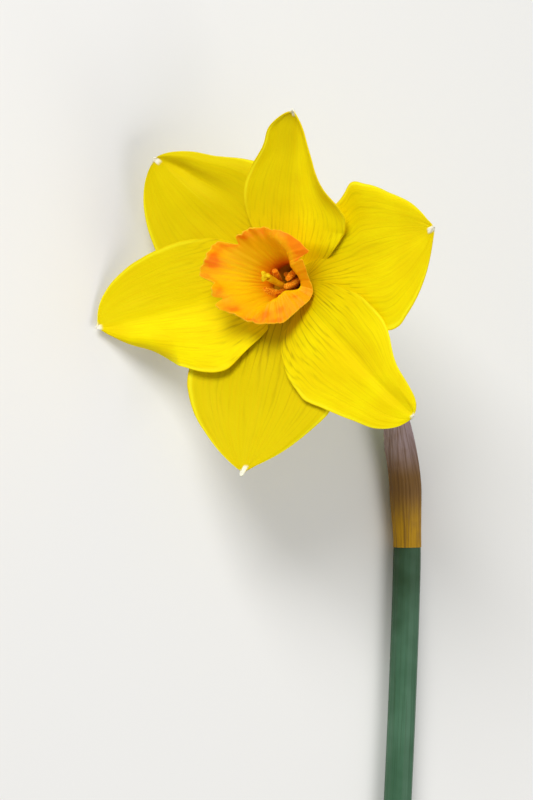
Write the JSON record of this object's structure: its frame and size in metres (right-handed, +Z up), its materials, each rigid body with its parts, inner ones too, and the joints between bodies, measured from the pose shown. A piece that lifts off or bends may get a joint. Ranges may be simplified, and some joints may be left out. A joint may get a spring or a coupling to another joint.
{
  "type": "cut daffodil flower",
  "caption": "Large-cupped daffodil flower with yellow petals, a frilled orange cup, stamens, papery sheath and a cut green stem, lying down as picked.",
  "frame": {"origin": "under the middle of the part's box, on the surface that the flower lies on", "axes": "+Y from the stem's cut end to the flower, +Z up from the surface, the flower faces between -X and +Z"},
  "size_m": [0.0874, 0.2188, 0.0718],
  "materials": {
    "petal": "soft waxy petal, finely veined, slightly translucent",
    "corona": "waxy, finely pleated, deeper orange at the frilled rim",
    "tube": "yellow-green, smooth",
    "ovary": "green with a faint bloom",
    "neck": "green, finely ribbed",
    "spathe": "dry papery sheath with fine veins",
    "stem": "green with a blue-grey bloom, finely ribbed",
    "filament": "pale yellow, smooth",
    "pollen": "powdery orange pollen",
    "style": "yellow, smooth"
  },
  "bodies": {
    "root": {"inner_petal_top": "petal", "inner_petal_left": "petal", "inner_petal_lower_right": "petal", "outer_petal_upper_left": "petal", "outer_petal_right": "petal", "outer_petal_bottom": "petal", "corona": "corona", "floral_tube": "tube", "ovary": "ovary", "neck": "neck", "spathe": "spathe", "stem": "stem", "filament_1": "filament", "filament_2": "filament", "filament_3": "filament", "filament_4": "filament", "filament_5": "filament", "filament_6": "filament", "anther_1": "pollen", "anther_2": "pollen", "anther_3": "pollen", "anther_4": "pollen", "anther_5": "pollen", "anther_6": "pollen", "style": "style", "stigma": "style"}
  },
  "joints": []
}
